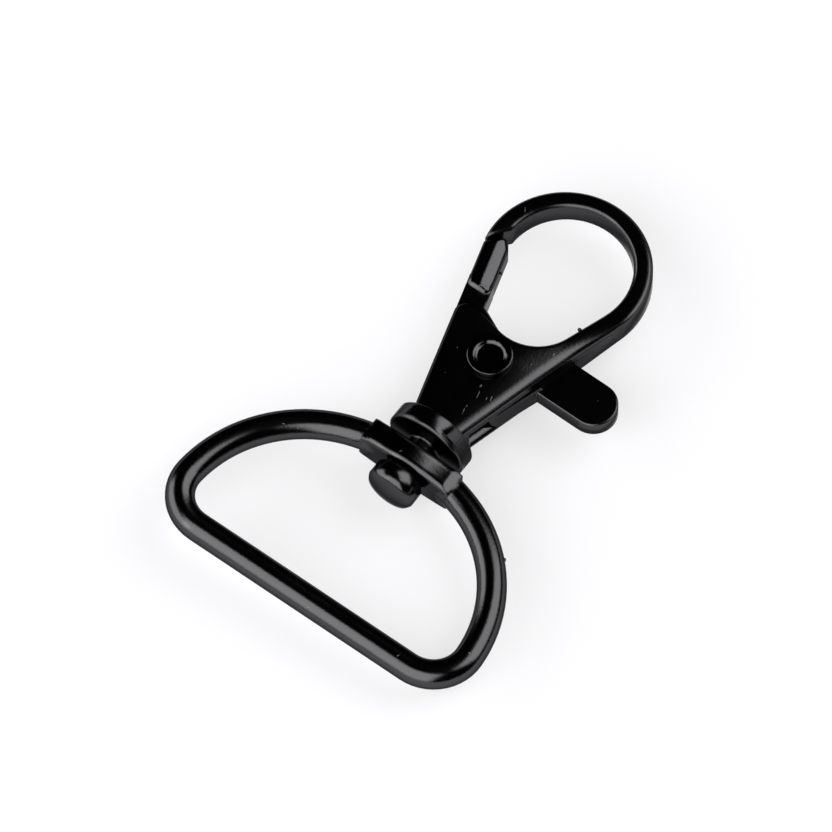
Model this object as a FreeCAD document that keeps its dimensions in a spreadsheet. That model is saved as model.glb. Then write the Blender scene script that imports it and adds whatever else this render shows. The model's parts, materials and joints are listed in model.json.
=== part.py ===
"""Swivel snap hook with a D-ring for webbing straps, in millimetres.

The hook is modelled along its swivel axis (Y), lying flat: the middle plane of
the castings is Z = 0 and the collar's lower face is Y = 0. Every piece is then
raised by the collar's radius, so that the collar's rim meets the table at Z = 0,
and moved along Y, so that the origin lies under the middle of the whole length.
"""
import FreeCAD, Part
import Sketcher
import math
import os

SIZES = {
    # Swivel: collar, stem and knob
    "collar_radius": 3.85,
    "collar_thickness": 1.9,
    "collar_bevel": 0.2,
    "stem_radius": 1.5,
    "knob_radius": 2.35,
    "knob_thickness": 2.3,
    "knob_bevel": 0.2,
    "knob_crown_width": 0.65,
    "knob_crown_height": 0.5,
    "knob_dome": 0.3,
    # Loop, eye and cheeks of the body
    "loop_reach": 21.05,
    "loop_radius": 7.64,
    "loop_width": 1.79,
    "root_half_width": 2.58,
    "body_thickness": 3.5,
    "loop_thickness": 2.8,
    "taper_rise": 0.75,
    "taper_length": 8.0,
    "edge_bevel": 0.38,
    "eye_offset": 0.2,
    "eye_length": 4.4,
    "eye_base_radius": 4.4,
    # Gate opening: nose and shoulder
    "nose_drop_angle": 6.3,
    "nose_face_angle": 48.0,
    "shoulder_slope": 14.5,
    "shoulder_rounding": 1.1,
    # Slot for the lever
    "slot_width": 2.2,
    "slot_floor_wall": 0.85,
    "slot_roof_rise": 4.5,
    "web_thickness": 1.15,
    "web_rise": 0.9,
    "spring_wall": 1.6,
    # Pivot
    "pivot_drop": 2.7,
    "pin_radius": 1.1,
    "pin_head_radius": 2.02,
    "pin_head_height": 0.62,
    "pin_rim_width": 0.5,
    "pin_dish_depth": 0.42,
    "pin_dish_radius": 1.1,
    # Gate lever
    "lever_side_clearance": 0.1,
    "gate_thickness": 2.6,
    "gate_width": 2.35,
    "gate_gap": 0.25,
    "gate_foot_rise": 5.1,
    "gate_lip": 1.1,
    "gate_lip_rounding": 0.6,
    "gate_rounding": 0.5,
    "gate_overlap": 1.0,
    "hub_radius": 2.35,
    "arm_root_angle": 30.0,
    "heel_clearance": 0.35,
    "tab_reach": 11.85,
    "tab_width": 4.35,
    "tab_thickness": 1.8,
    "tab_rise": 2.2,
    "tab_slope": 1.5,
    "tab_root_reach": 4.5,
    "tab_stand_off": 0.45,
    "tab_bevel": 0.15,
    "tail_drop": 4.65,
    "tail_width": 1.9,
    "tail_corner": 0.6,
    # Spring
    "spring_wire_radius": 0.18,
    "spring_radius": 0.74,
    "spring_turns": 2.5,
    "spring_rise": 0.65,
    "spring_clearance": 0.1,
    # D-ring
    "rod_radius": 1.325,
    "bar_half_length": 11.25,
    "ring_corner_radius": 3.7,
    "ring_corner_turn": 4.0,
    "ring_side_x": 1.72,
    "crown_radius": 19.1,
    "crown_lead": 0.45,
    "boss_gap": 0.85,
    "boss_length": 2.35,
    "boss_half_width": 4.65,
    "boss_half_height": 2.15,
    "boss_rounding": 0.6,
    "boss_foot_half_height": 1.35,
    "boss_end_run": 0.8,
    "ring_turn": 3.0,
    # Running clearances
    "bore_clearance": 0.08,
    "hub_clearance": 0.06,
    "pin_seat_clearance": 0.02,
    "knob_gap": 0.35,
}

# Sizes that follow from the others, in the order in which they are needed
DERIVED = {
    "root_drop": "loop_reach - collar_thickness",
    "flank_angle": "(asin(loop_radius / sqrt(root_half_width^2 + root_drop^2))"
    " - atan(root_half_width / root_drop)) / 1 deg",
    "body_half": "body_thickness / 2",
    "loop_half": "loop_thickness / 2",
    "beyond": "2 * loop_radius",
    "eye_radius": "loop_radius - loop_width",
    "eye_reach": "loop_reach + eye_offset",
    "eye_base_reach": "eye_reach - eye_length",
    "pivot_reach": "eye_base_reach - eye_base_radius - pivot_drop",
    "taper_start": "pivot_reach + taper_rise",
    "slot_floor": "collar_thickness + slot_floor_wall",
    "slot_roof": "pivot_reach + slot_roof_rise",
    "web_top": "pivot_reach + web_rise",
    "lever_thickness": "slot_width - 2 * lever_side_clearance",
    "gate_foot": "pivot_reach + gate_foot_rise",
    "tab_height": "pivot_reach + tab_rise",
    "tail_end": "pivot_reach - tail_drop",
    "knob_top": "boss_gap + boss_length + knob_gap",
    "knob_end": "knob_top + knob_thickness",
    "nose_x": "-(loop_radius + eye_radius) / 2 * cos(nose_drop_angle)",
    "nose_y": "loop_reach - (loop_radius + eye_radius) / 2 * sin(nose_drop_angle)",
    "gate_end_x": "nose_x + gate_gap * sin(nose_face_angle)",
    "gate_end_y": "nose_y - gate_gap * cos(nose_face_angle)",
    "gate_tip_run": "(loop_radius + gate_end_x * cos(flank_angle)"
    " + (gate_end_y - loop_reach) * sin(flank_angle)) / cos(nose_face_angle - flank_angle)",
    "boss_middle": "boss_gap + boss_length / 2",
    "crown_reach": "boss_middle - crown_lead",
    "ring_side_radius": "ring_corner_radius + (bar_half_length - ring_side_x) / cos(ring_corner_turn)",
    "ring_side_drop": "(bar_half_length - ring_side_x) * tan(ring_corner_turn)",
    "crown_centre_drop": "sqrt((crown_radius - ring_side_radius)^2 - ring_side_x^2)",
    "crown_angle": "acos(ring_side_x / (crown_radius - ring_side_radius)) / 1 deg",
    "crown_centre_reach": "crown_reach + crown_radius",
    "ring_side_reach": "crown_centre_reach - crown_centre_drop",
    "arch_foot": "ring_side_reach - ring_side_drop",
    "ring_reach": "arch_foot + ring_corner_radius",
    "mid_reach": "(loop_reach + loop_radius - ring_reach - rod_radius) / 2",
}

# How near two places are that count as the same when edges are picked
TOUCH = 0.01

document = FreeCAD.newDocument("snap_hook")
sheet = document.addObject("Spreadsheet::Sheet", "sizes")


def fill_sheet():
    """Writes each size beside its name, with the name as the cell's alias."""
    row = 1
    for name, value in SIZES.items():
        sheet.set(f"A{row}", name)
        sheet.set(f"B{row}", str(value))
        sheet.setAlias(f"B{row}", name)
        row += 1
    for name, text in DERIVED.items():
        sheet.set(f"A{row}", name)
        sheet.set(f"B{row}", "=" + text)
        sheet.setAlias(f"B{row}", name)
        row += 1
    document.recompute()


def size(name):
    """The value of a named size."""
    value = sheet.get(name)
    return float(getattr(value, "Value", value))


def formula(text):
    """The same expression with each name pointing at its cell in the sheet."""
    names = sorted([*SIZES, *DERIVED], key=len, reverse=True)
    words = []
    word = ""
    for letter in text + " ":
        if letter.isalnum() or letter == "_":
            word += letter
            continue
        words.append("sizes." + word if word in names else word)
        words.append(letter)
        word = ""
    return "".join(words).strip()


def new_body(label):
    """A body at the place of the whole object, raised onto the collar's rim."""
    body = document.addObject("PartDesign::Body", label)
    body.Label = label
    body.setExpression("Placement.Base.y", formula("-mid_reach"))
    body.setExpression("Placement.Base.z", formula("collar_radius"))
    return body


def origin_plane(body, role):
    """One of a body's own three planes."""
    return next(item for item in body.Origin.OriginFeatures if item.Role == role)


class Profile:
    """A closed sketch on one of a body's origin planes, bound to the sheet."""

    def __init__(self, body, name, plane):
        self.sketch = body.newObject("Sketcher::SketchObject", name)
        self.sketch.AttachmentSupport = (origin_plane(body, plane), "")
        self.sketch.MapMode = "FlatFace"

    def value(self, text):
        """The number that an expression on the sheet's names gives."""
        result = self.sketch.evalExpression(formula(text))
        return float(getattr(result, "Value", result))

    def bind(self, kind, *where, text):
        """Adds a dimension and ties it to an expression."""
        number = self.value(text)
        index = self.sketch.addConstraint(Sketcher.Constraint(kind, *where, number))
        self.sketch.setExpression(f"Constraints[{index}]", formula(text))

    def place(self, geometry, end, x_text, y_text):
        """Fixes one point of the sketch by its two distances from the origin."""
        for kind, text in (("DistanceX", x_text), ("DistanceY", y_text)):
            if text == "0":
                axis = -2 if kind == "DistanceX" else -1
                self.sketch.addConstraint(Sketcher.Constraint("PointOnObject", geometry, end, axis))
            else:
                self.bind(kind, -1, 1, geometry, end, text=text)

    def line(self, start, end):
        """A straight edge between two points given as numbers."""
        return self.sketch.addGeometry(
            Part.LineSegment(FreeCAD.Vector(*start, 0), FreeCAD.Vector(*end, 0))
        )

    def arc(self, centre, radius, start_angle, end_angle):
        """An arc that runs anticlockwise, with its angles in degrees."""
        circle = Part.Circle(FreeCAD.Vector(*centre, 0), FreeCAD.Vector(0, 0, 1), radius)
        first, last = math.radians(start_angle), math.radians(end_angle)
        return self.sketch.addGeometry(Part.ArcOfCircle(circle, first, last))

    def join(self, first, first_end, second, second_end, smooth=False):
        """Makes two ends meet, and run on smoothly where asked."""
        kind = "Tangent" if smooth else "Coincident"
        self.sketch.addConstraint(
            Sketcher.Constraint(kind, first, first_end, second, second_end)
        )

    def polygon(self, corners):
        """Straight edges through corners given as pairs of expressions."""
        points = [(self.value(x_text), self.value(y_text)) for x_text, y_text in corners]
        edges = [self.line(points[i - 1], points[i]) for i in range(len(points))]
        for i, edge in enumerate(edges):
            self.join(edges[i - 1], 2, edge, 1)
            self.place(edge, 2, *corners[i])
        return self.sketch

    def circle(self, x_text, y_text, radius_text):
        """A full circle."""
        centre = FreeCAD.Vector(self.value(x_text), self.value(y_text), 0)
        ring = self.sketch.addGeometry(
            Part.Circle(centre, FreeCAD.Vector(0, 0, 1), self.value(radius_text))
        )
        self.place(ring, 3, x_text, y_text)
        self.bind("Radius", ring, text=radius_text)
        return self.sketch


def pad(body, name, sketch, thickness):
    """A plate of the sketch's outline, half on each side of its plane."""
    feature = body.newObject("PartDesign::Pad", name)
    feature.Profile = sketch
    feature.SideType = "Symmetric"
    feature.setExpression("Length", formula(thickness))
    document.recompute()
    return feature


def pocket(body, name, sketch, depth=None):
    """A cut of the sketch's outline, right through or of a given total depth."""
    feature = body.newObject("PartDesign::Pocket", name)
    feature.Profile = sketch
    feature.SideType = "Symmetric"
    if depth is None:
        feature.Type = "ThroughAll"
    else:
        feature.setExpression("Length", formula(depth))
    document.recompute()
    return feature


def fillet(body, name, radius, chosen):
    """Rounds the edges of the body's last feature that the test chooses."""
    base = body.Tip
    names = [f"Edge{i + 1}" for i, edge in enumerate(base.Shape.Edges) if chosen(edge)]
    feature = body.newObject("PartDesign::Fillet", name)
    feature.Base = (base, names)
    feature.setExpression("Radius", formula(radius))
    document.recompute()
    return feature


def bevel(body, name, width, chosen):
    """Cuts the edges of the body's last feature that the test chooses back by a width."""
    base = body.Tip
    names = [f"Edge{i + 1}" for i, edge in enumerate(base.Shape.Edges) if chosen(edge)]
    feature = body.newObject("PartDesign::Chamfer", name)
    feature.Base = (base, names)
    feature.setExpression("Size", formula(width))
    document.recompute()
    return feature


def middle(edge):
    """The point halfway along an edge, in the body's own frame."""
    return edge.valueAt((edge.FirstParameter + edge.LastParameter) / 2)


def upright(edge):
    """Whether an edge is straight and runs along Z."""
    first, last = edge.Vertexes[0].Point, edge.Vertexes[-1].Point
    return (first - last).Length > TOUCH and (first - last).cross(FreeCAD.Vector(0, 0, 1)).Length < TOUCH


fill_sheet()

FLANK_X = "(loop_radius + ({y} - loop_reach) * sin(flank_angle)) / cos(flank_angle)"


def flank(y_text):
    """Half the body's width where its straight flank passes the given Y."""
    return FLANK_X.format(y=y_text)


def build_hook_body():
    """Die-cast body: stem with its headed knob, collar, two cheeks, loop and nose."""
    body = new_body("hook_body")

    turned = Profile(body, "StemProfile", "XY_Plane")
    turned.polygon([
        ("0", "collar_thickness"),
        ("0", "-knob_end"),
        ("knob_radius - knob_crown_width", "-knob_end + knob_dome"),
        ("knob_radius - knob_crown_width / 3", "-knob_end + knob_dome + knob_crown_height / 3"),
        ("knob_radius", "-knob_end + knob_dome + knob_crown_height"),
        ("knob_radius", "-knob_top - knob_bevel"),
        ("knob_radius - knob_bevel", "-knob_top"),
        ("stem_radius", "-knob_top"),
        ("stem_radius", "0"),
        ("collar_radius - collar_bevel", "0"),
        ("collar_radius", "collar_bevel"),
        ("collar_radius", "collar_thickness - collar_bevel"),
        ("collar_radius - collar_bevel", "collar_thickness"),
    ])
    stem = body.newObject("PartDesign::Revolution", "StemAndCollar")
    stem.Profile = turned.sketch
    stem.ReferenceAxis = (turned.sketch, ["V_Axis"])
    stem.Angle = 360
    document.recompute()

    outline = Profile(body, "OutlineSketch", "XY_Plane")
    angle = size("flank_angle")
    loop_centre = (0, size("loop_reach"))
    loop_radius = size("loop_radius")
    root_y = size("collar_thickness")
    root_x = size("root_half_width")
    tangent_x = loop_radius * math.cos(math.radians(angle))
    tangent_y = loop_centre[1] - loop_radius * math.sin(math.radians(angle))
    top = outline.arc(loop_centre, loop_radius, -angle, 180 + angle)
    right = outline.line((tangent_x, tangent_y), (root_x, root_y))
    root = outline.line((root_x, root_y), (-root_x, root_y))
    left = outline.line((-root_x, root_y), (-tangent_x, tangent_y))
    outline.join(top, 1, right, 1, smooth=True)
    outline.join(top, 2, left, 2, smooth=True)
    outline.join(right, 2, root, 1)
    outline.join(root, 2, left, 1)
    outline.place(top, 3, "0", "loop_reach")
    outline.bind("Radius", top, text="loop_radius")
    outline.place(root, 1, "root_half_width", "collar_thickness")
    outline.place(root, 2, "-root_half_width", "collar_thickness")
    pad(body, "CheeksAndLoop", outline.sketch, "body_thickness")

    pocket(body, "Eye", eye_sketch(body), None)

    thin = Profile(body, "LoopThicknessSketch", "YZ_Plane")
    thin.polygon([
        ("taper_start", "body_half"),
        ("taper_start + taper_length", "loop_half"),
        ("loop_reach + beyond", "loop_half"),
        ("loop_reach + beyond", "body_thickness"),
        ("taper_start", "body_thickness"),
    ])
    thinner = pocket(body, "ThinnerLoop", thin.sketch, None)
    mirrored = body.newObject("PartDesign::Mirrored", "ThinnerLoopBelow")
    mirrored.Originals = [thinner]
    mirrored.MirrorPlane = (origin_plane(body, "XY_Plane"), [""])
    body.Tip = mirrored
    document.recompute()

    pocket(body, "GateOpening", gate_opening_sketch(body), None)
    fillet(body, "ShoulderRounding", "shoulder_rounding",
           lambda edge: is_gate_side(edge) and middle(edge).y < size("gate_foot"))
    bevel(body, "EdgeBevel", "edge_bevel", is_plate_edge)

    slot = Profile(body, "SlotSketch", "XY_Plane")
    slot.polygon([
        ("beyond", "slot_floor"),
        ("beyond", "slot_roof"),
        ("-beyond", "slot_roof"),
        ("-beyond", "web_top"),
        ("-" + flank("web_top") + " + web_thickness / cos(flank_angle)", "web_top"),
        ("-" + flank("pivot_reach - hub_radius") + " + web_thickness / cos(flank_angle)",
         "pivot_reach - hub_radius"),
        ("-spring_wall", "pivot_reach - hub_radius - heel_clearance"),
        ("-spring_wall", "slot_floor"),
    ])
    pocket(body, "LeverSlot", slot.sketch, "slot_width")

    seat = Profile(body, "PinHoleSketch", "XY_Plane")
    seat.circle("0", "pivot_reach", "pin_radius + pin_seat_clearance")
    pocket(body, "PinHole", seat.sketch, None)
    return body


def is_gate_side(edge):
    """Whether an edge is an upright corner of the nose or the shoulder."""
    return upright(edge) and middle(edge).x < -size("loop_radius") / 2


def is_plate_edge(edge):
    """Whether an edge bounds the upper or lower face of the cheeks and loop."""
    point = middle(edge)
    first, last = edge.Vertexes[0].Point, edge.Vertexes[-1].Point
    crossing = abs(first.y - last.y) < TOUCH and isinstance(edge.Curve, Part.Line)
    return (abs(point.z) > size("loop_half") - TOUCH
            and point.y > size("collar_thickness") + TOUCH and not crossing)


def eye_sketch(body):
    """The eye's outline: a large arc above a smaller one, with straight sides."""
    eye = Profile(body, "EyeSketch", "XY_Plane")
    upper, lower = size("eye_radius"), size("eye_base_radius")
    upper_y, lower_y = size("eye_reach"), size("eye_base_reach")
    lean = math.degrees(math.asin((upper - lower) / (upper_y - lower_y)))
    across, down = math.cos(math.radians(lean)), math.sin(math.radians(lean))
    crown = eye.arc((0, upper_y), upper, -lean, 180 + lean)
    base = eye.arc((0, lower_y), lower, 180 + lean, 360 - lean)
    right = eye.line((upper * across, upper_y - upper * down), (lower * across, lower_y - lower * down))
    left = eye.line((-upper * across, upper_y - upper * down), (-lower * across, lower_y - lower * down))
    eye.join(crown, 1, right, 1, smooth=True)
    eye.join(crown, 2, left, 1, smooth=True)
    eye.join(base, 2, right, 2, smooth=True)
    eye.join(base, 1, left, 2, smooth=True)
    eye.place(crown, 3, "0", "eye_reach")
    eye.place(base, 3, "0", "eye_base_reach")
    eye.bind("Radius", crown, text="eye_radius")
    eye.bind("Radius", base, text="eye_base_radius")
    return eye.sketch


def slanted(start, distance):
    """A point at a distance along the nose's end face, or along the gate's."""
    x_text = f"{start}_x + ({distance}) * cos(nose_face_angle)"
    y_text = f"{start}_y + ({distance}) * sin(nose_face_angle)"
    return x_text, y_text


def shoulder_point(distance):
    """A point on the line that leaves the eye's lower arc towards the shoulder."""
    x_text = f"-eye_base_radius * sin(shoulder_slope) - ({distance}) * cos(shoulder_slope)"
    y_text = (f"eye_base_reach - eye_base_radius * cos(shoulder_slope)"
              f" + ({distance}) * sin(shoulder_slope)")
    return x_text, y_text


def gate_opening_sketch(body):
    """The part of the outline that the gate closes, between shoulder and nose."""
    opening = Profile(body, "GateOpeningSketch", "XY_Plane")
    return opening.polygon([
        shoulder_point("0"),
        slanted("nose", "loop_radius / 3"),
        slanted("nose", "-loop_radius / 2"),
        ("-beyond", "gate_foot"),
        shoulder_point("loop_radius"),
    ])


def build_gate_lever():
    """Die-cast lever: gate, arm, hub on the pin, thumb tab and tail."""
    body = new_body("gate_lever")
    inner_x = "-" + flank("{y}") + " + gate_width / cos(flank_angle)"
    gate = Profile(body, "GateSketch", "XY_Plane")
    lip_y = "gate_end_y - gate_lip / 2"
    gate.polygon([
        slanted("gate_end", "-gate_tip_run"),
        ("-" + flank("gate_foot"), "gate_foot"),
        (inner_x.format(y="gate_foot"), "gate_foot"),
        (inner_x.format(y=lip_y), lip_y),
        slanted("gate_end", "(loop_radius - eye_radius) / 2"),
    ])
    pad(body, "Gate", gate.sketch, "gate_thickness")
    fillet(body, "GateLipRounding", "gate_lip_rounding", is_gate_lip)
    fillet(body, "GateRounding", "gate_rounding", is_gate_edge)

    hub = Profile(body, "HubSketch", "XY_Plane")
    pad(body, "Hub", hub.circle("0", "pivot_reach", "hub_radius"), "lever_thickness")

    arm = Profile(body, "ArmSketch", "XY_Plane")
    heel = "web_top + heel_clearance"
    top, low = "gate_foot + gate_overlap", "gate_foot - gate_overlap"
    arm.polygon([
        ("-" + flank(top), top),
        ("-" + flank(heel), heel),
        ("-" + flank(heel) + " + web_thickness + heel_clearance", heel),
        ("-hub_radius * cos(arm_root_angle)", "pivot_reach - hub_radius * sin(arm_root_angle)"),
        ("0", "pivot_reach"),
        ("0", "pivot_reach + hub_radius"),
        (inner_x.format(y=low), low),
        (inner_x.format(y=top), top),
    ])
    pad(body, "Arm", arm.sketch, "lever_thickness")

    pad(body, "ThumbTab", tab_sketch(body), "tab_thickness")
    bevel(body, "TabBevel", "tab_bevel", is_tab_edge)

    tail = Profile(body, "TailSketch", "XY_Plane")
    root = "tab_height - tab_width / 2 + tab_stand_off"
    tail.polygon([
        (flank("tab_height - tab_width / 2") + " + tab_stand_off", root),
        (flank("tail_end + tail_corner"), "tail_end + tail_corner"),
        (flank("tail_end") + " - tail_corner", "tail_end"),
        (flank("tail_end") + " - tail_width", "tail_end"),
        (flank("tail_end") + " - tail_width", "tail_end + tail_width"),
        ("hub_radius / 2", "pivot_reach - hub_radius / 2"),
        ("0", "pivot_reach"),
        ("0", root),
    ])
    pad(body, "Tail", tail.sketch, "lever_thickness")

    bore = Profile(body, "HubBoreSketch", "XY_Plane")
    pocket(body, "HubBore", bore.circle("0", "pivot_reach", "pin_radius + hub_clearance"), None)
    return body


def tab_sketch(body):
    """The thumb tab's outline: a round end, and a root that widens towards the hub."""
    tab = Profile(body, "TabSketch", "XY_Plane")
    centre_x = "tab_reach - tab_width / 2"
    centre_y = f"tab_height - ({centre_x}) * sin(tab_slope)"
    ends = [(f"{centre_x} {sign} tab_width / 2 * sin(tab_slope)",
             f"{centre_y} {sign} tab_width / 2 * cos(tab_slope)") for sign in "+-"]
    root = [("tab_root_reach", "tab_height + tab_width / 2 - tab_root_reach * sin(tab_slope)"),
            ("0", "pivot_reach + hub_radius"),
            ("0", "tab_height - tab_width / 2")]
    corners = [ends[0], *root, ends[1]]
    points = [(tab.value(x_text), tab.value(y_text)) for x_text, y_text in corners]
    slope = size("tab_slope")
    centre = (tab.value(centre_x), tab.value(centre_y))
    tip = tab.arc(centre, size("tab_width") / 2, -90 - slope, 90 - slope)
    edges = [tab.line(points[i], points[i + 1]) for i in range(len(points) - 1)]
    for i in range(1, len(edges)):
        tab.join(edges[i - 1], 2, edges[i], 1)
        tab.place(edges[i], 1, *corners[i])
    tab.place(tip, 3, centre_x, centre_y)
    tab.place(edges[0], 1, *ends[0])
    tab.join(tip, 2, edges[0], 1)
    tab.join(edges[-1], 2, tip, 1)
    tab.bind("DistanceX", -1, 1, edges[-1], 2, text=ends[1][0])
    return tab.sketch


def is_gate_lip(edge):
    """Whether an edge is a corner on the gate's inner side, at its lip or its foot."""
    point = middle(edge)
    return upright(edge) and point.x > size("nose_x")


def is_gate_edge(edge):
    """Whether an edge bounds the gate's upper or lower face."""
    return abs(middle(edge).z) > size("gate_thickness") / 2 - TOUCH


def is_tab_edge(edge):
    """Whether an edge bounds the thumb tab's upper or lower face, outside the cheeks."""
    point = middle(edge)
    on_face = abs(abs(point.z) - size("tab_thickness") / 2) < TOUCH
    return on_face and point.x > size("tab_root_reach")


def build_pivot_pin():
    """Rivet through both cheeks, with a dished head on each side."""
    body = new_body("pivot_pin")
    profile = Profile(body, "PinProfile", "XZ_Plane")
    profile.polygon([
        ("0", "-body_half - pin_head_height + pin_dish_depth"),
        ("pin_dish_radius", "-body_half - pin_head_height + pin_dish_depth"),
        ("pin_head_radius - pin_rim_width", "-body_half - pin_head_height"),
        ("pin_head_radius", "-body_half - pin_head_height"),
        ("pin_head_radius", "-body_half"),
        ("pin_radius", "-body_half"),
        ("pin_radius", "body_half"),
        ("pin_head_radius", "body_half"),
        ("pin_head_radius", "body_half + pin_head_height"),
        ("pin_head_radius - pin_rim_width", "body_half + pin_head_height"),
        ("pin_dish_radius", "body_half + pin_head_height - pin_dish_depth"),
        ("0", "body_half + pin_head_height - pin_dish_depth"),
    ])
    turned = body.newObject("PartDesign::Revolution", "Rivet")
    turned.Profile = profile.sketch
    turned.ReferenceAxis = (profile.sketch, ["V_Axis"])
    turned.Angle = 360
    document.recompute()
    body.setExpression("Placement.Base.y", formula("pivot_reach - mid_reach"))
    return body


def build_gate_spring():
    """Compression coil between the body's web and the lever's tail."""
    spring = document.addObject("Part::Helix", "SpringLine")
    left, right = "-spring_wall", flank("tail_end") + " - tail_width"
    gap = f"({right}) - ({left}) - 2 * spring_wire_radius - 2 * spring_clearance"
    spring.setExpression("Height", formula(gap))
    spring.setExpression("Pitch", formula(f"({gap}) / spring_turns"))
    spring.setExpression("Radius", formula("spring_radius"))
    document.recompute()
    wire = document.addObject("Part::Circle", "SpringWire")
    wire.setExpression("Radius", formula("spring_wire_radius"))
    wire.setExpression("Placement.Base.x", formula("spring_radius"))
    wire.Placement.Rotation = FreeCAD.Rotation(FreeCAD.Vector(1, 0, 0), 90)
    sweep = document.addObject("Part::Sweep", "gate_spring")
    sweep.Sections = [wire]
    sweep.Spine = (spring, [])
    sweep.Solid = True
    sweep.Frenet = True
    sweep.Label = "gate_spring"
    sweep.Placement.Rotation = FreeCAD.Rotation(FreeCAD.Vector(0, 1, 0), 90)
    sweep.setExpression("Placement.Base.x", formula(left + " + spring_wire_radius + spring_clearance"))
    sweep.setExpression("Placement.Base.y", formula("tail_end + spring_rise - mid_reach"))
    sweep.setExpression("Placement.Base.z", formula("collar_radius"))
    document.recompute()
    return sweep


def ring_line(body):
    """The rod's middle line: a straight bar, two corners, two side arcs and the crown."""
    line = Profile(body, "RingLine", "XY_Plane")
    half, corner, foot = size("bar_half_length"), size("ring_corner_radius"), -size("arch_foot")
    side_x, side_y, side = size("ring_side_x"), -size("ring_side_reach"), size("ring_side_radius")
    crown_y, crown = -size("crown_centre_reach"), size("crown_radius")
    turn, lean = size("ring_corner_turn"), size("crown_angle")
    bar = line.line((-half, foot - corner), (half, foot - corner))
    right_corner = line.arc((half, foot), corner, -90, turn)
    right_side = line.arc((side_x, side_y), side, turn, lean)
    top = line.arc((0, crown_y), crown, lean, 180 - lean)
    left_side = line.arc((-side_x, side_y), side, 180 - lean, 180 - turn)
    left_corner = line.arc((-half, foot), corner, 180 - turn, 270)
    arcs = [right_corner, right_side, top, left_side, left_corner]
    for i in range(1, len(arcs)):
        line.join(arcs[i - 1], 2, arcs[i], 1, smooth=True)
    line.join(bar, 2, right_corner, 1)
    line.join(left_corner, 2, bar, 1)
    line.place(bar, 1, "-bar_half_length", "-ring_reach")
    line.place(bar, 2, "bar_half_length", "-ring_reach")
    line.place(right_corner, 3, "bar_half_length", "-arch_foot")
    line.place(left_corner, 3, "-bar_half_length", "-arch_foot")
    line.place(right_side, 3, "ring_side_x", "-ring_side_reach")
    line.bind("DistanceX", left_side, 3, -1, 1, text="ring_side_x")
    line.place(top, 3, "0", "-crown_centre_reach")
    return line.sketch


def boss_sketch(body):
    """The boss seen from its end: a block with four rounded long edges."""
    boss = Profile(body, "BossSketch", "YZ_Plane")
    back, front, high = -size("boss_gap"), -size("boss_gap") - size("boss_length"), size("boss_half_height")
    bend = size("boss_rounding")
    near, far, rise = back - bend, front + bend, high - bend
    centres = [(near, rise), (far, rise), (far, -rise), (near, -rise)]
    arcs = [boss.arc(centre, bend, 90 * i, 90 * (i + 1)) for i, centre in enumerate(centres)]
    sides = [((near, high), (far, high)), ((front, rise), (front, -rise)),
             ((far, -high), (near, -high)), ((back, -rise), (back, rise))]
    for i, (first, last) in enumerate(sides):
        side = boss.line(first, last)
        boss.join(arcs[i], 2, side, 1, smooth=True)
        boss.join(side, 2, arcs[(i + 1) % len(arcs)], 1, smooth=True)
    rise_text = "boss_half_height - boss_rounding"
    boss.place(arcs[0], 3, "-(boss_gap + boss_rounding)", rise_text)
    boss.place(arcs[2], 3, "-(boss_gap + boss_length - boss_rounding)", f"-({rise_text})")
    boss.bind("Radius", arcs[0], text="boss_rounding")
    boss.bind("Radius", arcs[2], text="boss_rounding")
    return boss.sketch


def build_d_ring():
    """Die-cast D-ring: round rod, with a thick boss that the stem turns in."""
    body = new_body("d_ring")
    body.Placement.Rotation = FreeCAD.Rotation(FreeCAD.Vector(0, 1, 0), size("ring_turn"))
    body.setExpression("Placement.Rotation.Angle", formula("ring_turn * 1 deg"))
    rod = Profile(body, "RodSketch", "YZ_Plane")
    rod.circle("-ring_reach", "0", "rod_radius")
    pipe = body.newObject("PartDesign::AdditivePipe", "Rod")
    pipe.Profile = rod.sketch
    pipe.Spine = (ring_line(body), [])
    document.recompute()

    pad(body, "Boss", boss_sketch(body), "2 * boss_half_width")
    ends = Profile(body, "BossEndsSketch", "XZ_Plane")
    for side in ("", "-"):
        for level in ("", "-"):
            ends.polygon([
                (f"{side}boss_half_width", f"{level}boss_foot_half_height"),
                (f"{side}(boss_half_width + boss_end_run)", f"{level}boss_foot_half_height"),
                (f"{side}(boss_half_width + boss_end_run)", f"{level}2 * boss_half_height"),
                (f"{side}(boss_half_width - boss_end_run)", f"{level}2 * boss_half_height"),
                (f"{side}(boss_half_width - boss_end_run)", f"{level}boss_half_height"),
            ])
    pocket(body, "BossEnds", ends.sketch, None)
    face = Profile(body, "BossFaceSketch", "XY_Plane")
    face.polygon([
        ("-boss_half_width", "-boss_gap"),
        ("boss_half_width", "-boss_gap"),
        ("boss_half_width", "rod_radius"),
        ("-boss_half_width", "rod_radius"),
    ])
    pocket(body, "BossFace", face.sketch, None)
    bore = Profile(body, "BoreSketch", "XZ_Plane")
    bore.circle("0", "0", "stem_radius + bore_clearance")
    bore.sketch.setExpression("AttachmentOffset.Base.z", formula("boss_middle"))
    pocket(body, "Bore", bore.sketch, "2 * boss_length")
    return body


def check():
    """Stops if any object failed to build."""
    for item in document.Objects:
        if "Invalid" in item.State or "Error" in item.State:
            raise RuntimeError(f"{item.Name} did not build")


def export(pieces):
    """Writes each sub-part to a STEP file that carries its label."""
    os.makedirs("parts", exist_ok=True)
    for piece in pieces:
        shape = piece.Shape
        if shape.isNull() or not shape.isValid() or shape.Volume <= 0:
            raise RuntimeError(f"{piece.Label} has no valid solid")
        shape.exportStep(f"parts/{piece.Label}.step")
        print(piece.Label, round(shape.Volume, 2), len(shape.Solids))


build_hook_body()
build_gate_lever()
build_pivot_pin()
build_gate_spring()
build_d_ring()
check()
export([item for item in document.Objects
        if item.TypeId == "PartDesign::Body" or item.Label == "gate_spring"])
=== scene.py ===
"""A swivel snap hook in black-coated zinc, lying on a white table."""

import json
import math

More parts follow.
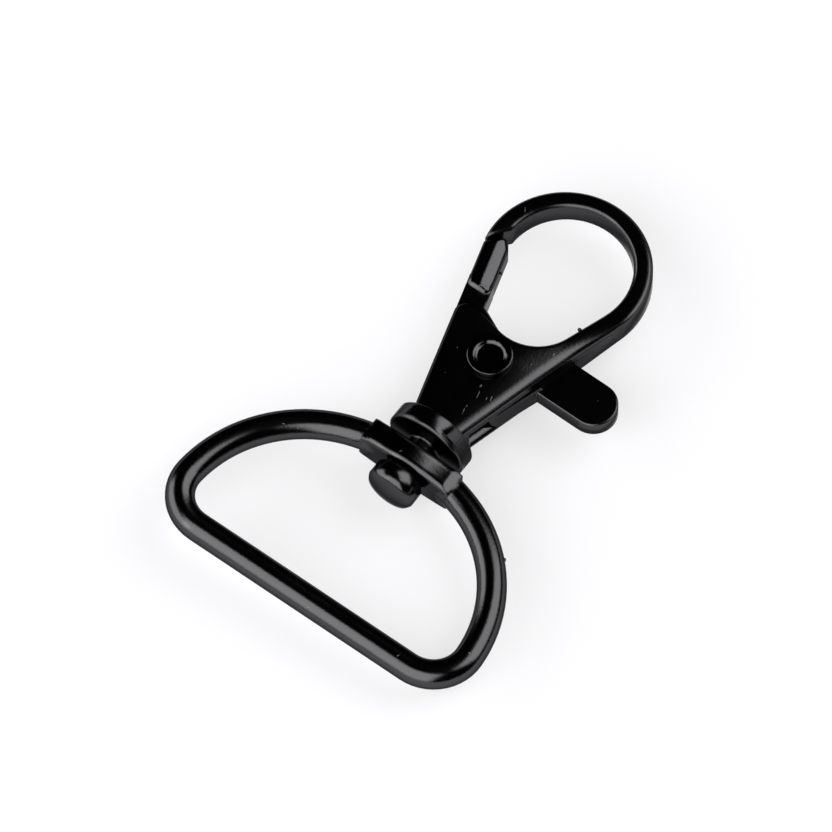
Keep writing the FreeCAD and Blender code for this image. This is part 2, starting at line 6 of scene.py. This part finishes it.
import bmesh
import bpy
from mathutils import Matrix, Vector

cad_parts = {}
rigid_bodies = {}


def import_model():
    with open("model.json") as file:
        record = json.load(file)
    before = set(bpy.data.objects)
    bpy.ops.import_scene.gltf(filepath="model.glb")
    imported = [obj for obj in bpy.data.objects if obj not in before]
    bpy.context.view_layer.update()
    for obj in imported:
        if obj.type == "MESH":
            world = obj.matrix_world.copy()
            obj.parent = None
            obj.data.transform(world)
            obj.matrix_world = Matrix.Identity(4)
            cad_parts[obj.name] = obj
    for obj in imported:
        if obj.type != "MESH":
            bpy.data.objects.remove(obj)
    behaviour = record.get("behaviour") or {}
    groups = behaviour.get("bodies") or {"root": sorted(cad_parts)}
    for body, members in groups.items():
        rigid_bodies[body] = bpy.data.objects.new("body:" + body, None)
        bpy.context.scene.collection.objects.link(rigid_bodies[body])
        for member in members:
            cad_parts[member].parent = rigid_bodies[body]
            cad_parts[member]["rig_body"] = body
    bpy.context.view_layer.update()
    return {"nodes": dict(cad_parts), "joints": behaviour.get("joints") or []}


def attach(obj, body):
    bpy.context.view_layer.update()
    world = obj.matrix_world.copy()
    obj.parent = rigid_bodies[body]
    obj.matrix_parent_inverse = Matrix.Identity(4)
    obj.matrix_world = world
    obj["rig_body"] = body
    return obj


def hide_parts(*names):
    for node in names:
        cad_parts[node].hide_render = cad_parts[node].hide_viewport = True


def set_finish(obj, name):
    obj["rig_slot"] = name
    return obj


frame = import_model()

MM = 0.001
pivot = Vector(next(joint["pos_m"] for joint in frame["joints"] if joint["name"] == "gate_pivot"))


# The castings are zinc, tumbled smooth before they are coated, and the pin is a steel rivet. Each is the mesh
# of its solid. The bevelled edges are shaded as one soft rounding, as the thick coating rounds them.

merge_distance = 0.0005 * MM
flat_angle = math.radians(0.5)
crease_angle = math.radians(50)


def arch_boss(cast):
    """Rounds the top and underside of the ring's boss down toward its ends. Sizes are in millimetres."""
    ring_turn = math.radians(3)
    strip, reach, back = 0.35, 4.75, -8
    rod_top, rod_radius, rise, half_length, drop = 1.33, 1.3, 0.85, 3.85, 0.3
    level = Matrix.Rotation(-ring_turn, 4, "Y") @ Matrix.Translation((0, 0, -pivot.z))
    cast.transform(level)
    for i in range(-12, 13):
        whole = [*cast.verts, *cast.edges, *cast.faces]
        bmesh.ops.bisect_plane(cast, geom=whole, plane_co=(strip * i * MM, 0, 0), plane_no=(1, 0, 0))
    for vertex in cast.verts:
        x, y, z = vertex.co / MM
        if abs(x) < reach and abs(z) > rod_top and y > back:
            fall = drop * (abs(z) - rod_radius) / rise * (x / half_length) ** 2 * MM
            vertex.co.z -= math.copysign(fall, z)
    cast.transform(level.inverted())


castings = {}
for node, body in (("hook_body", "hook"), ("gate_lever", "gate"), ("pivot_pin", "hook"), ("d_ring", "ring")):
    cast = bmesh.new()
    cast.from_mesh(frame["nodes"][node].data)
    cast.transform(frame["nodes"][node].matrix_world)
    bmesh.ops.remove_doubles(cast, verts=cast.verts, dist=merge_distance)
    bmesh.ops.dissolve_limit(cast, angle_limit=flat_angle, verts=cast.verts, edges=cast.edges)
    if node == "d_ring":
        arch_boss(cast)
    for face in cast.faces:
        face.smooth = True
    for edge in cast.edges:
        edge.smooth = len(edge.link_faces) == 2 and edge.calc_face_angle() < crease_angle
    rough = bpy.data.meshes.new(node + "_rough")
    cast.to_mesh(rough)
    cast.free()
    carrier = bpy.data.objects.new(node + "_rough", rough)
    bpy.context.collection.objects.link(carrier)
    weighting = carrier.modifiers.new("weighting", "WEIGHTED_NORMAL")
    weighting.keep_sharp = True
    weighting.weight = 100
    seen = carrier.evaluated_get(bpy.context.evaluated_depsgraph_get())
    shaded = bpy.data.meshes.new_from_object(seen)
    bpy.data.objects.remove(carrier)
    piece = bpy.data.objects.new(node + "_cast", shaded)
    bpy.context.collection.objects.link(piece)
    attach(piece, body)
    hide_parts(node)
    castings[node] = piece


# The black coating is a thin satin-gloss enamel, baked on over the castings. It has a faint orange peel and
# dust under its skin. Scratches and knocks show the grey zinc below it.

class Wire:
    """A socket of a node tree, on which sums and products can be written."""

    def __init__(self, tree, socket):
        self.tree = tree
        self.socket = socket

    def math(self, operation, *values):
        return self.tree.node("ShaderNodeMath", {"operation": operation}, dict(enumerate(values)))

    def vector(self, operation, other, output=0):
        return self.tree.node("ShaderNodeVectorMath", {"operation": operation}, {0: self, 1: other}, output)

    def ramp(self, low, high):
        """Rises smoothly from 0 at low to 1 at high, and falls where high is the lesser."""
        inputs = {"Value": self, "From Min": low, "From Max": high}
        return self.tree.node("ShaderNodeMapRange", {"interpolation_type": "SMOOTHSTEP"}, inputs)

    def __add__(self, other):
        return self.math("ADD", self, other)

    def __sub__(self, other):
        return self.math("SUBTRACT", self, other)

    def __rsub__(self, other):
        return self.math("SUBTRACT", other, self)

    def __mul__(self, other):
        return self.math("MULTIPLY", self, other)

    def __truediv__(self, other):
        return self.math("DIVIDE", self, other)

    __radd__ = __add__
    __rmul__ = __mul__


class Tree:
    """A node tree of a material or of the world, and the means to write its nodes as expressions."""

    def __init__(self, owner):
        owner.use_nodes = True
        self.owner = owner
        self.nodes = owner.node_tree.nodes
        self.links = owner.node_tree.links
        self.nodes.clear()

    def set(self, socket, value):
        if isinstance(value, Wire):
            self.links.new(value.socket, socket)
        elif isinstance(value, (tuple, list)) and len(value) == 3 and socket.type == "RGBA":
            socket.default_value = (*value, 1)
        else:
            socket.default_value = value

    def node(self, kind, settings, inputs, output=0):
        made = self.nodes.new(kind)
        for name, value in settings.items():
            setattr(made, name, value)
        for name, value in inputs.items():
            self.set(made.inputs[name], value)
        return Wire(self, made.outputs[output])

    def out(self, surface, kind="ShaderNodeOutputMaterial"):
        made = self.nodes.new(kind)
        self.links.new(surface.socket, made.inputs["Surface"])
        return self.owner


enamel = (0.064, 0.064, 0.066)
bare_zinc = (0.17, 0.17, 0.175)
grazing_tint = (0.35, 0.35, 0.35)
peel_depth = 0.008 * MM
loop_radius = 7.64 * MM
eye_centre = 16.43 * MM
flank_angle = math.radians(15.62)


def flank_distance(outward, y):
    """How far in from a flank's outer edge a point lies, for the flank that outward points to."""
    return loop_radius + (y - eye_centre) * math.sin(flank_angle) - outward * math.cos(flank_angle)


def body_swell(x, y):
    """How the body's flat top rolls off toward its right flank."""
    near = x.math("MAXIMUM", 1.3 * MM - flank_distance(x, y), 0.0)
    wide = x.math("MAXIMUM", x - 0.3 * MM, 0.0)
    fall = near * near * (0.24 / MM) + wide * wide * (0.013 / MM)
    return fall * -1 * y.ramp(16 * MM, 9 * MM) * y.ramp(-4.4 * MM, -4 * MM)


def gate_swell(x, y):
    """How the gate's top rolls off toward the eye."""
    return flank_distance(x * -1, y).ramp(1.05 * MM, 2.25 * MM) * (-0.27 * MM) * y.ramp(9.5 * MM, 11.5 * MM)


def boss_swell(x, y):
    """The arch of the ring's boss from side to side."""
    side = x.math("MINIMUM", x.math("ABSOLUTE", x), 4.65 * MM)
    shoulder = side.math("MAXIMUM", side - 1.9 * MM, 0.0)
    return (shoulder * shoulder * 0.1 - side * side * 0.035) * (1 / MM) * y.ramp(-14 * MM, -12 * MM)


def black_coating(name, roughness, rounding, marks, swell=None):
    """The coating, with its marks as (x1, y1, x2, y2, width) in millimetres seen from above."""
    tree = Tree(bpy.data.materials.new(name))
    place = tree.node("ShaderNodeTexCoord", {}, {}, "Object")
    flat = place.vector("MULTIPLY", (1, 1, 0))
    x, y, z = (tree.node("ShaderNodeSeparateXYZ", {}, {"Vector": place}, axis) for axis in "XYZ")
    scratched = 0.0
    for x1, y1, x2, y2, width in marks:
        start = Vector((x1, y1, 0)) * MM
        run = Vector((x2, y2, 0)) * MM - start
        offset = flat.vector("SUBTRACT", start)
        if run.length > 0:
            along = offset.vector("DOT_PRODUCT", run / run.length_squared, "Value")
            along = along.math("MINIMUM", along.math("MAXIMUM", along, 0.0), 1.0)
            nearest = tree.node("ShaderNodeVectorMath", {"operation": "SCALE"}, {"Vector": run, "Scale": along})
            offset = offset.vector("SUBTRACT", nearest)
        distance = tree.node("ShaderNodeVectorMath", {"operation": "LENGTH"}, {0: offset}, "Value")
        scratched = distance.ramp(width * MM, width * MM / 3) + scratched
    ragged = tree.node("ShaderNodeTexNoise", {}, {"Vector": place, "Scale": 9000, "Detail": 2})
    scratched = scratched * z.ramp(3.5 * MM, 3.8 * MM) * ragged.ramp(0.3, 0.6)

    soft = tree.node("ShaderNodeBevel", {"samples": 8}, {"Radius": rounding}, "Normal")
    peel = tree.node("ShaderNodeTexNoise", {}, {"Vector": place, "Scale": 5000, "Detail": 2})
    inputs = {"Strength": 1.0, "Distance": peel_depth, "Height": peel, "Normal": soft}
    skin = tree.node("ShaderNodeBump", {}, inputs, "Normal")
    if swell:
        inputs = {"Strength": 1.0, "Distance": 1.0, "Height": swell(x, y), "Normal": skin}
        skin = tree.node("ShaderNodeBump", {}, inputs, "Normal")
    cloud = tree.node("ShaderNodeTexNoise", {}, {"Vector": place, "Scale": 420, "Detail": 4})
    shade = tree.node(
        "ShaderNodeMix",
        {"data_type": "RGBA"},
        {"Factor": scratched, "A": enamel, "B": bare_zinc},
        "Result",
    )
    surface = tree.node(
        "ShaderNodeBsdfPrincipled",
        {},
        {
            "Base Color": shade,
            "Metallic": 1 - scratched,
            "Roughness": roughness + 0.1 * (cloud - 0.5),
            "Specular Tint": grazing_tint,
            "Normal": skin,
        },
        "BSDF",
    )
    return tree.out(surface)


body_marks = (
    (1.0, 2.3, 1.0, 2.45, 0.09), (2.16, 1.5, 2.09, 1.78, 0.05), (2.52, 1.68, 2.42, 2.06, 0.06),
    (1.32, 1.5, 1.23, 1.85, 0.05), (1.3, -0.82, 1.16, -0.3, 0.06), (1.17, -0.08, 1.15, 0.1, 0.06),
    (1.38, 1.22, 1.35, 1.4, 0.05), (-2.89, 4.26, -2.89, 4.26, 0.06), (-2.3, 1.64, -2.3, 1.64, 0.05),
    (3.32, 6.68, 3.32, 6.68, 0.06), (-6.04, 18.82, -6.28, 19.16, 0.06), (4.35, 8.5, 4.25, 8.8, 0.05),
)
lever_marks = ((9.83, 7.5, 9.83, 7.5, 0.08), (-5.05, 10.62, -4.9, 10.66, 0.09), (-4.6, 10.7, -4.6, 10.7, 0.07))
ring_marks = (
    (10.3, -22.94, 10.36, -22.85, 0.09), (15.1, -19.05, 15.2, -18.95, 0.09), (1.27, -23.66, 1.27, -23.66, 0.06),
    (-9.6, -10.2, -9.6, -10.2, 0.07), (-10.8, -10.72, -10.65, -10.65, 0.06), (-0.8, -7.1, -0.75, -7.05, 0.12),
)
for node, slot, roughness, rounding, marks, swell in (
    ("hook_body", "body_coating", 0.16, 0.5 * MM, body_marks, body_swell),
    ("gate_lever", "lever_coating", 0.16, 0.22 * MM, lever_marks, gate_swell),
    ("pivot_pin", "pin_coating", 0.13, 0.25 * MM, (), None),
    ("d_ring", "ring_coating", 0.15, 0.45 * MM, ring_marks, boss_swell),
):
    castings[node].data.materials.clear()
    castings[node].data.materials.append(black_coating(slot, roughness, rounding, marks, swell))
    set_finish(castings[node], slot)


# Flash is left where the die halves met: a burr in the eye, one on the gate and one on the ring's outside.

for name, carrier, place, half_sizes in (
    ("eye_flash", "hook_body", (4.47, 12.33, 4.6), (0.22, 0.16, 0.3)),
    ("gate_flash", "gate_lever", (-4.45, 13.05, 4.3), (0.12, 0.14, 0.2)),
    ("ring_flash", "d_ring", (12.02, -9.6, 3.75), (0.22, 0.22, 0.14)),
):
    lump = bmesh.new()
    bmesh.ops.create_icosphere(lump, subdivisions=3, radius=1)
    for vertex in lump.verts:
        vertex.co = Vector([(vertex.co[i] * half_sizes[i] + place[i]) * MM for i in range(3)])
    for face in lump.faces:
        face.smooth = True
    mesh = bpy.data.meshes.new(name)
    lump.to_mesh(mesh)
    lump.free()
    mesh.materials.append(castings[carrier].data.materials[0])
    burr = bpy.data.objects.new(name, mesh)
    bpy.context.collection.objects.link(burr)
    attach(burr, castings[carrier]["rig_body"])
    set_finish(burr, castings[carrier]["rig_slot"])


# The spring is bright steel wire, wound cold and left bare.

tree = Tree(bpy.data.materials.new("spring_wire"))
wire = tree.node(
    "ShaderNodeBsdfPrincipled",
    {},
    {"Base Color": (0.55, 0.55, 0.56), "Metallic": 1.0, "Roughness": 0.3},
    "BSDF",
)
spring = frame["nodes"]["gate_spring"]
spring.data.materials.clear()
spring.data.materials.append(tree.out(wire))


# The table is a sheet of matt white board, with a faint lilac in its shadows. To the camera and in reflections
# it is partly plain white, which keeps the shadows faint.

table_half = 0.6
table_mesh = bpy.data.meshes.new("table")
table_mesh.from_pydata(
    [(x * table_half, y * table_half, 0) for x, y in ((-1, -1), (1, -1), (1, 1), (-1, 1))], [], [(0, 1, 2, 3)]
)
table = bpy.data.objects.new("table", table_mesh)
bpy.context.collection.objects.link(table)
tree = Tree(bpy.data.materials.new("white_board"))
board = tree.node("ShaderNodeBsdfDiffuse", {}, {"Color": (0.96, 0.95, 0.99)}, "BSDF")
rays = tree.nodes.new("ShaderNodeLightPath")
seen_by = sum(Wire(tree, rays.outputs[f"Is {kind} Ray"]) for kind in ("Camera", "Glossy", "Transmission"))
paper = tree.node("ShaderNodeEmission", {}, {"Color": (1, 1, 1), "Strength": 1.0}, "Emission")
paper_share = seen_by.math("MINIMUM", seen_by, 1.0) * 0.6
table_mesh.materials.append(tree.out(tree.node("ShaderNodeMixShader", {}, {0: paper_share, 1: board, 2: paper})))


# The studio is dark but for three softboxes: behind and to the right, high in front, and low on the left.
# Each is a soft-edged rectangle in the sky, given by its azimuth from +X, elevation, half sizes and radiance.

world = bpy.data.worlds.new("studio")
bpy.context.scene.world = world
tree = Tree(world)
ray = tree.node("ShaderNodeTexCoord", {}, {}, "Generated")
glow = 0.004
for azimuth, elevation, half_width, half_height, soft, radiance in (
    (50, 44, 0.45, 0.46, 0.12, 2.6),
    (275, 36, 0.6, 0.66, 0.15, 2.75),
    (212, 14, 0.7, 0.5, 0.15, 2.75),
):
    turn, rise = math.radians(azimuth), math.radians(elevation)
    centre = Vector((math.cos(turn) * math.cos(rise), math.sin(turn) * math.cos(rise), math.sin(rise)))
    across = Vector((-math.sin(turn), math.cos(turn), 0))
    upward = centre.cross(across)
    depth = ray.vector("DOT_PRODUCT", centre, "Value")
    ahead = depth.math("MAXIMUM", depth, 0.01)
    box = depth.ramp(0.0, 0.1) * radiance
    for axis, half in ((across, half_width), (upward, half_height)):
        spread = ray.vector("DOT_PRODUCT", axis, "Value") / ahead
        box = box * spread.math("ABSOLUTE", spread).ramp(half + soft, half - soft)
    glow = box + glow
sky = tree.node("ShaderNodeBackground", {}, {"Color": (1, 1, 1), "Strength": glow}, "Background")
tree.out(sky, "ShaderNodeOutputWorld")

# The camera looks down on the swivel from the ring's side, through a long lens.

azimuth = math.radians(35.7)
elevation = math.radians(61.7)
pixels_per_mm = 11.51
frame_pixels = 832
swivel_pixel = (429.6, 435.2)
swivel = pivot + Vector((0, -9, 1.05)) * MM

sight = Vector((math.sin(azimuth) * math.cos(elevation), -math.cos(azimuth) * math.cos(elevation), math.sin(elevation)))
right = Vector((math.cos(azimuth), math.sin(azimuth), 0))
up = sight.cross(right)
middle = frame_pixels / 2
aim = swivel + MM / pixels_per_mm * (right * (middle - swivel_pixel[0]) - up * (middle - swivel_pixel[1]))

lens = bpy.data.cameras.new("camera")
lens.lens = 1200
lens.sensor_width = 36
lens.clip_start = 0.01
lens.clip_end = 100
distance = frame_pixels / pixels_per_mm * MM * lens.lens / lens.sensor_width
camera = bpy.data.objects.new("camera", lens)
camera.matrix_world = Matrix.Translation(aim + sight * distance) @ Matrix((right, up, sight)).transposed().to_4x4()
bpy.context.collection.objects.link(camera)
bpy.context.scene.camera = camera
bpy.context.scene.view_settings.view_transform = "Standard"
